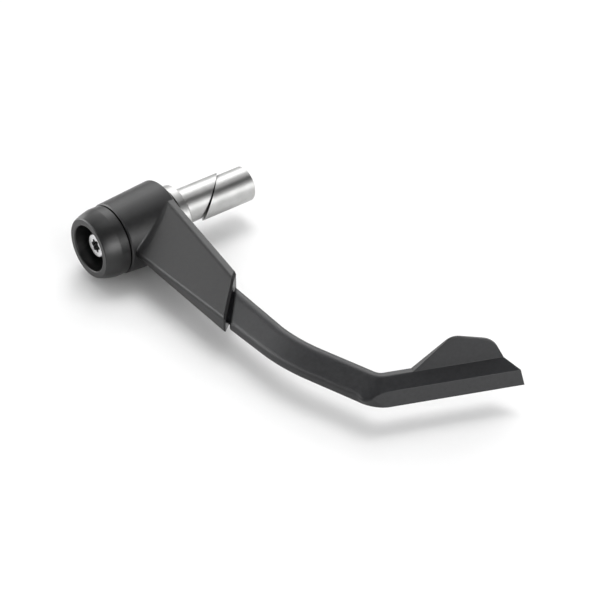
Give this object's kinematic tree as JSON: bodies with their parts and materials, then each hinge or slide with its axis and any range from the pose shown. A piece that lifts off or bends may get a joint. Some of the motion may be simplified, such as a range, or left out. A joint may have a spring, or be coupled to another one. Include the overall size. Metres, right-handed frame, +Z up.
{
  "type": "brake lever guard",
  "caption": "Brake lever guard: a curved blade on a slanting arm whose round boss clamps to the end of a handlebar by a bolt and an expanding wedge plug.",
  "frame": {"origin": "on the axis of the handlebar, in the middle of the full-round end of the expander plug", "axes": "+X along the handlebar axis and into the bar, -Y forward towards the lever, +Z up"},
  "size_m": [0.0765, 0.1788, 0.0318],
  "materials": {
    "black_coat": "satin black coat on aluminium",
    "black_nylon": "black nylon with a fine moulded grain",
    "cap_nylon": "smooth satin black",
    "turned_aluminium": "bright turned",
    "steel": "bright plated"
  },
  "bodies": {
    "collar": {"bar_collar": "turned_aluminium"},
    "guard": {"bracket": "black_coat", "guard_blade": "black_nylon", "blade_screws": "steel", "end_cap": "cap_nylon"},
    "bolt": {"clamp_bolt": "steel"},
    "plug_inner": {"wedge_inner": "turned_aluminium"},
    "plug_outer": {"wedge_outer": "turned_aluminium"}
  },
  "joints": [
    {"name": "guard_swivel", "type": "hinge", "parent": "collar", "child": "guard", "pos_m": [-0.0357, 0, 0], "axis": [1, 0, 0], "continuous": true},
    {"name": "bolt_turn", "type": "hinge", "parent": "collar", "child": "bolt", "pos_m": [-0.0632, 0, 0], "axis": [1, 0, 0], "range_deg": [-400, 280]},
    {"name": "wedge_draw", "type": "slide", "parent": "collar", "child": "plug_outer", "axis": [-1, 0, 0], "range_m": [-0.0012, 0.0009]},
    {"name": "wedge_spread", "type": "slide", "parent": "collar", "child": "plug_inner", "axis": [0, 0.8387, 0.5446], "range_m": [-0.0011, 0.0008]}
  ],
  "couplings": [
    {"joint": "wedge_draw", "follows": "bolt_turn", "m_per_rad": 0.00015915},
    {"joint": "wedge_spread", "follows": "bolt_turn", "m_per_rad": 0.00015158}
  ]
}
